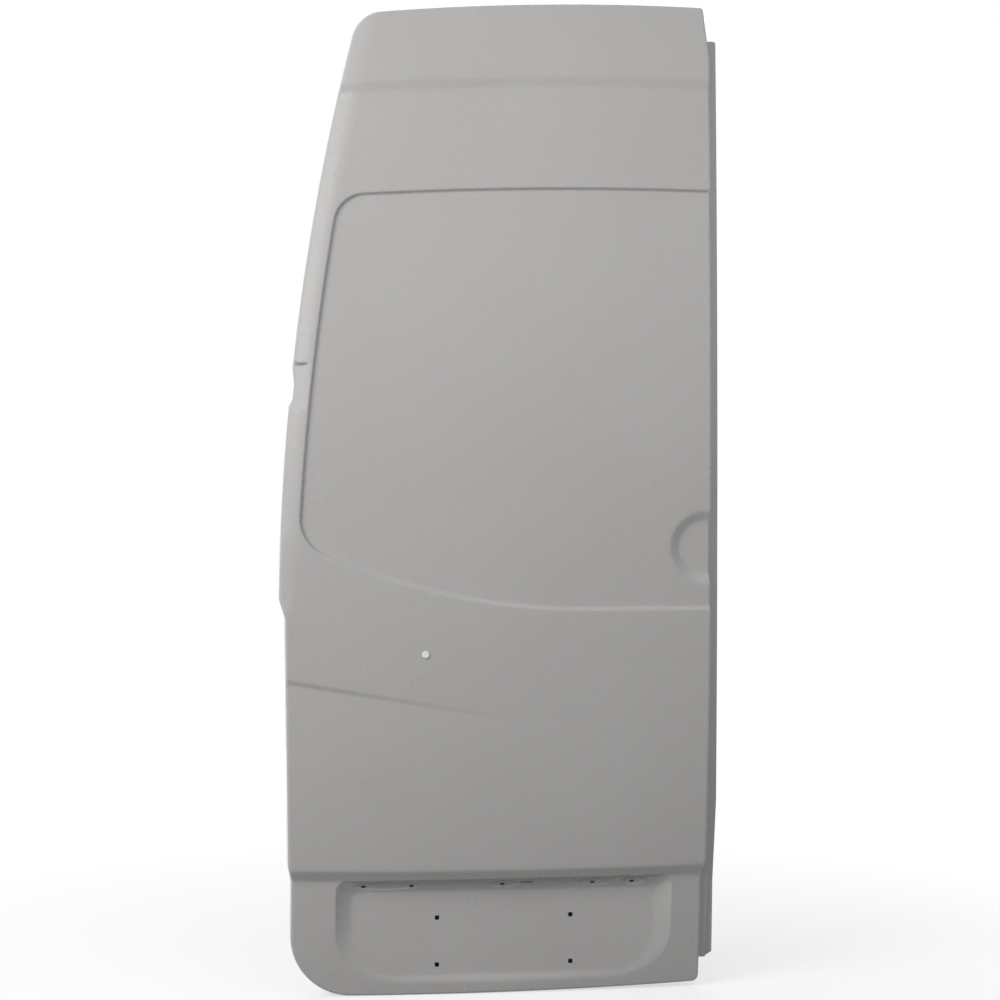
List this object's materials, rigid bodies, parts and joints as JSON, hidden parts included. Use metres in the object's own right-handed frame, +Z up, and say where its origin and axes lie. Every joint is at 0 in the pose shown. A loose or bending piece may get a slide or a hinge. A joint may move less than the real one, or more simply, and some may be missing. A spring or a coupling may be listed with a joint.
{
  "type": "vehicle rear door leaf",
  "caption": "Bare rear barn-door leaf of a high-roof van: curved outer skin with blank window recess, plate pocket and finger dish over a pressed inner frame.",
  "frame": {"origin": "middle of the lower hinge seat on the hinge-side edge", "axes": "+Z up the door, +Y from the outer face into the vehicle, +X from the hinge side to the meeting edge"},
  "size_m": [0.8797, 0.1711, 1.9576],
  "materials": {
    "body_paint": "gloss light grey paint",
    "frame_paint": "thinner grey paint over primer",
    "plate_steel": "coated steel",
    "plug_plastic": "satin white plastic",
    "mastic": "soft black mastic",
    "bitumen": "dull black damping sheet"
  },
  "bodies": {
    "root": {"outer_skin": "body_paint", "meeting_edge_flange": "body_paint", "badge_hole_plug": "plug_plastic", "hinge_stile": "frame_paint", "lock_stile": "frame_paint", "top_rail": "frame_paint", "header_rail": "frame_paint", "belt_rail": "frame_paint", "lower_inner_panel": "frame_paint", "sill_rail": "frame_paint", "upper_hinge_plate": "plate_steel", "lower_hinge_plate": "plate_steel", "striker_plate": "plate_steel", "top_latch_plate": "plate_steel", "bottom_latch_plate": "plate_steel", "header_mastic": "mastic", "belt_mastic": "mastic", "damping_pads": "bitumen"}
  },
  "joints": []
}
